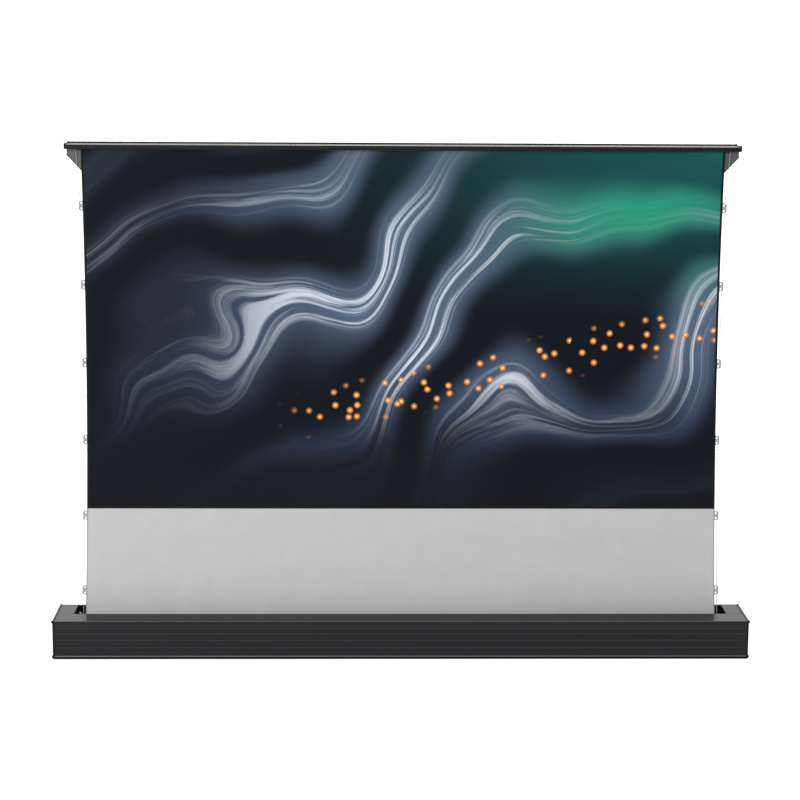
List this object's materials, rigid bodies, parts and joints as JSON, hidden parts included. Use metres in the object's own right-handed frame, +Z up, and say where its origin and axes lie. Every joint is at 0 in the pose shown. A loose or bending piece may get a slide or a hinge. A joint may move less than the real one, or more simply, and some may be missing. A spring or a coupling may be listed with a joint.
{
  "type": "floor-rising projection screen",
  "caption": "Low case from which a tab-tensioned projection fabric rises under a lid, pushed up by elbow arms behind it.",
  "frame": {"origin": "middle of the case's footprint, on the floor", "axes": "+X along the case, +Y from the viewer's side to the back, +Z up"},
  "size_m": [2.46, 0.2182, 1.8048],
  "materials": {
    "satin_black_aluminium": "satin",
    "moulded_black_plastic": "matte",
    "zinc_plated_steel": "satin",
    "grey_painted_steel": "satin",
    "black_anodised_arms": "satin",
    "black_spring_steel": "satin",
    "cast_alloy": "matte",
    "bright_aluminium": "satin",
    "white_nylon": "matte",
    "clear_tab_plastic": "gloss",
    "tension_cord": "matte",
    "picture_fabric": "matte",
    "grey_fabric": "matte",
    "foot_rubber": "matte"
  },
  "bodies": {
    "case": {"case_front_profile": "satin_black_aluminium", "case_rear_profile": "satin_black_aluminium", "case_floor_plate": "zinc_plated_steel", "tubular_motor": "grey_painted_steel", "roller_idle_pin": "zinc_plated_steel", "fabric_guide_bar": "bright_aluminium", "fabric_lead": "grey_fabric", "control_box": "moulded_black_plastic", "power_inlet": "moulded_black_plastic", "lid_switch": "white_nylon", "projection_surface": "picture_fabric", "fabric_apron": "grey_fabric", "case_end_plate_left": "moulded_black_plastic", "case_end_plate_right": "moulded_black_plastic", "slot_end_cover_left": "satin_black_aluminium", "slot_end_cover_right": "satin_black_aluminium", "foot_front_left": "foot_rubber", "foot_front_right": "foot_rubber", "foot_rear_left": "foot_rubber", "foot_rear_right": "foot_rubber", "roller_bracket_left": "zinc_plated_steel", "roller_bracket_right": "zinc_plated_steel", "cord_guide_left": "white_nylon", "cord_guide_right": "white_nylon", "base_bracket_left": "zinc_plated_steel", "base_bracket_right": "zinc_plated_steel", "spring_drum_left": "black_spring_steel", "spring_drum_right": "black_spring_steel", "tab_strip_left": "clear_tab_plastic", "tab_strip_right": "clear_tab_plastic", "tension_cord_left": "tension_cord", "tension_cord_right": "tension_cord"},
    "fabric_roller": {"roller_tube": "bright_aluminium", "wound_fabric": "grey_fabric", "drive_crown": "moulded_black_plastic", "roller_idle_plug": "moulded_black_plastic"},
    "left_lower_arm": {"lower_arm_tube_left": "black_anodised_arms", "base_knuckle_left": "cast_alloy", "lower_elbow_knuckle_left": "cast_alloy", "elbow_pin_left": "zinc_plated_steel", "base_pin_left": "zinc_plated_steel"},
    "left_upper_arm": {"upper_arm_tube_left": "black_anodised_arms", "upper_elbow_knuckle_left": "cast_alloy", "top_knuckle_left": "cast_alloy"},
    "right_lower_arm": {"lower_arm_tube_right": "black_anodised_arms", "base_knuckle_right": "cast_alloy", "lower_elbow_knuckle_right": "cast_alloy", "elbow_pin_right": "zinc_plated_steel", "base_pin_right": "zinc_plated_steel"},
    "right_upper_arm": {"upper_arm_tube_right": "black_anodised_arms", "upper_elbow_knuckle_right": "cast_alloy", "top_knuckle_right": "cast_alloy"},
    "lid": {"lid_profile": "satin_black_aluminium", "hem_rod": "bright_aluminium", "lid_cap_left": "moulded_black_plastic", "lid_cap_right": "moulded_black_plastic", "lid_bracket_left": "grey_painted_steel", "lid_bracket_right": "grey_painted_steel", "top_pin_left": "zinc_plated_steel", "top_pin_right": "zinc_plated_steel"}
  },
  "joints": [
    {"name": "left_base_pivot", "type": "hinge", "parent": "case", "child": "left_lower_arm", "pos_m": [-1.1, 0.048, 0.04], "axis": [0, 1, 0], "range_deg": [0, 62.37], "stiffness_Nm_per_rad": 38, "springref_deg": -54.43, "deforming": ["projection_surface", "fabric_apron", "tab_strip_left", "tab_strip_right", "tension_cord_left", "tension_cord_right"]},
    {"name": "left_elbow", "type": "hinge", "parent": "left_lower_arm", "child": "left_upper_arm", "pos_m": [-0.677, 0.03, 0.89063], "axis": [0, -1, 0], "range_deg": [0, 124.74]},
    {"name": "left_top_pivot", "type": "hinge", "parent": "left_upper_arm", "child": "lid", "pos_m": [-1.1, 0.0135, 1.74126], "axis": [0, 1, 0], "range_deg": [0, 62.37]},
    {"name": "right_base_pivot", "type": "hinge", "parent": "case", "child": "right_lower_arm", "pos_m": [1.1, 0.048, 0.04], "axis": [0, -1, 0], "range_deg": [0, 62.37], "stiffness_Nm_per_rad": 38, "springref_deg": -54.43},
    {"name": "right_elbow", "type": "hinge", "parent": "right_lower_arm", "child": "right_upper_arm", "pos_m": [0.677, 0.03, 0.89063], "axis": [0, 1, 0], "range_deg": [0, 124.74]},
    {"name": "roller_spin", "type": "hinge", "parent": "case", "child": "fabric_roller", "pos_m": [0, -0.062, 0.062], "axis": [-1, 0, 0], "range_deg": [0, 3118.5]}
  ],
  "couplings": [
    {"joint": "left_elbow", "follows": "left_base_pivot", "ratio": 2},
    {"joint": "left_top_pivot", "follows": "left_base_pivot", "ratio": 1},
    {"joint": "right_base_pivot", "follows": "left_base_pivot", "ratio": 1},
    {"joint": "right_elbow", "follows": "left_base_pivot", "ratio": 2},
    {"joint": "roller_spin", "follows": "left_base_pivot", "ratio": 50}
  ]
}
